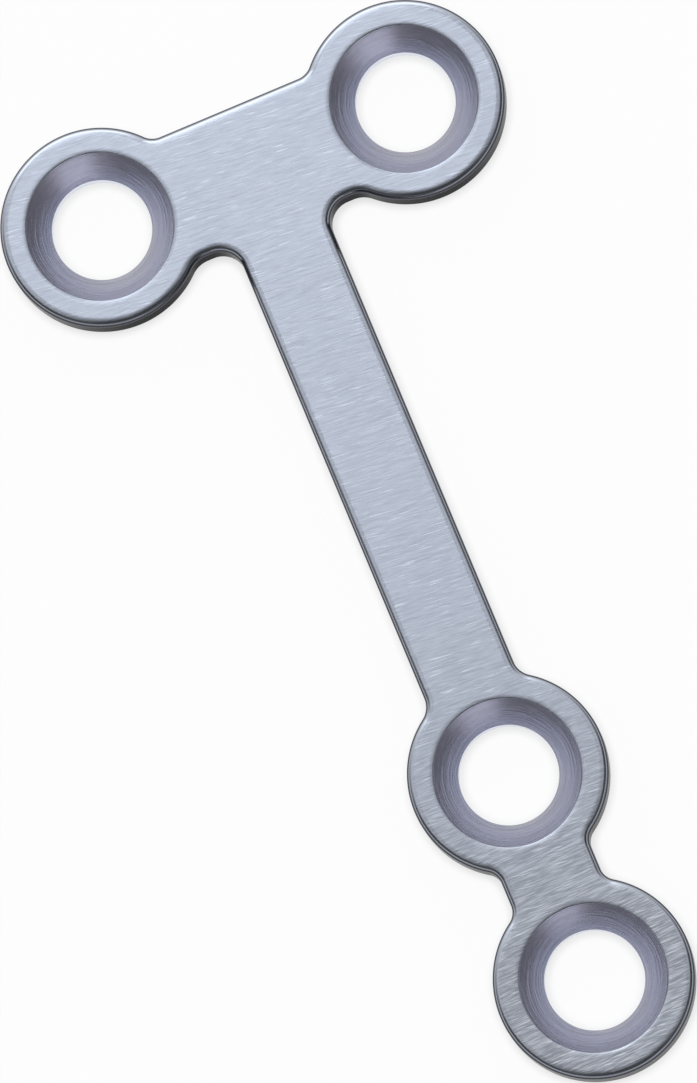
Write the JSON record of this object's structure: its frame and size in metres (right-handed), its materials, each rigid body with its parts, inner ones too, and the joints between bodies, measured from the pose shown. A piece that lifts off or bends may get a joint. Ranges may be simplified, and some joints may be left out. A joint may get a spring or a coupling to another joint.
{
  "type": "orthopedic bone plate",
  "caption": "Small flat T-shaped bone plate: narrow bars join round rings, each ring with a countersunk screw hole, rounded edges and a brushed top face.",
  "frame": {"origin": "in the underside's plane, midway along the overall length and width", "axes": "+X across the head, +Y along the shaft towards the head, +Z out of the countersunk top face"},
  "size_m": [0.0116, 0.0238, 0.0012],
  "materials": {
    "plate_metal": "brushed top face, turned countersinks, tumbled edges"
  },
  "bodies": {
    "root": {"bone_plate": "plate_metal"}
  },
  "joints": []
}
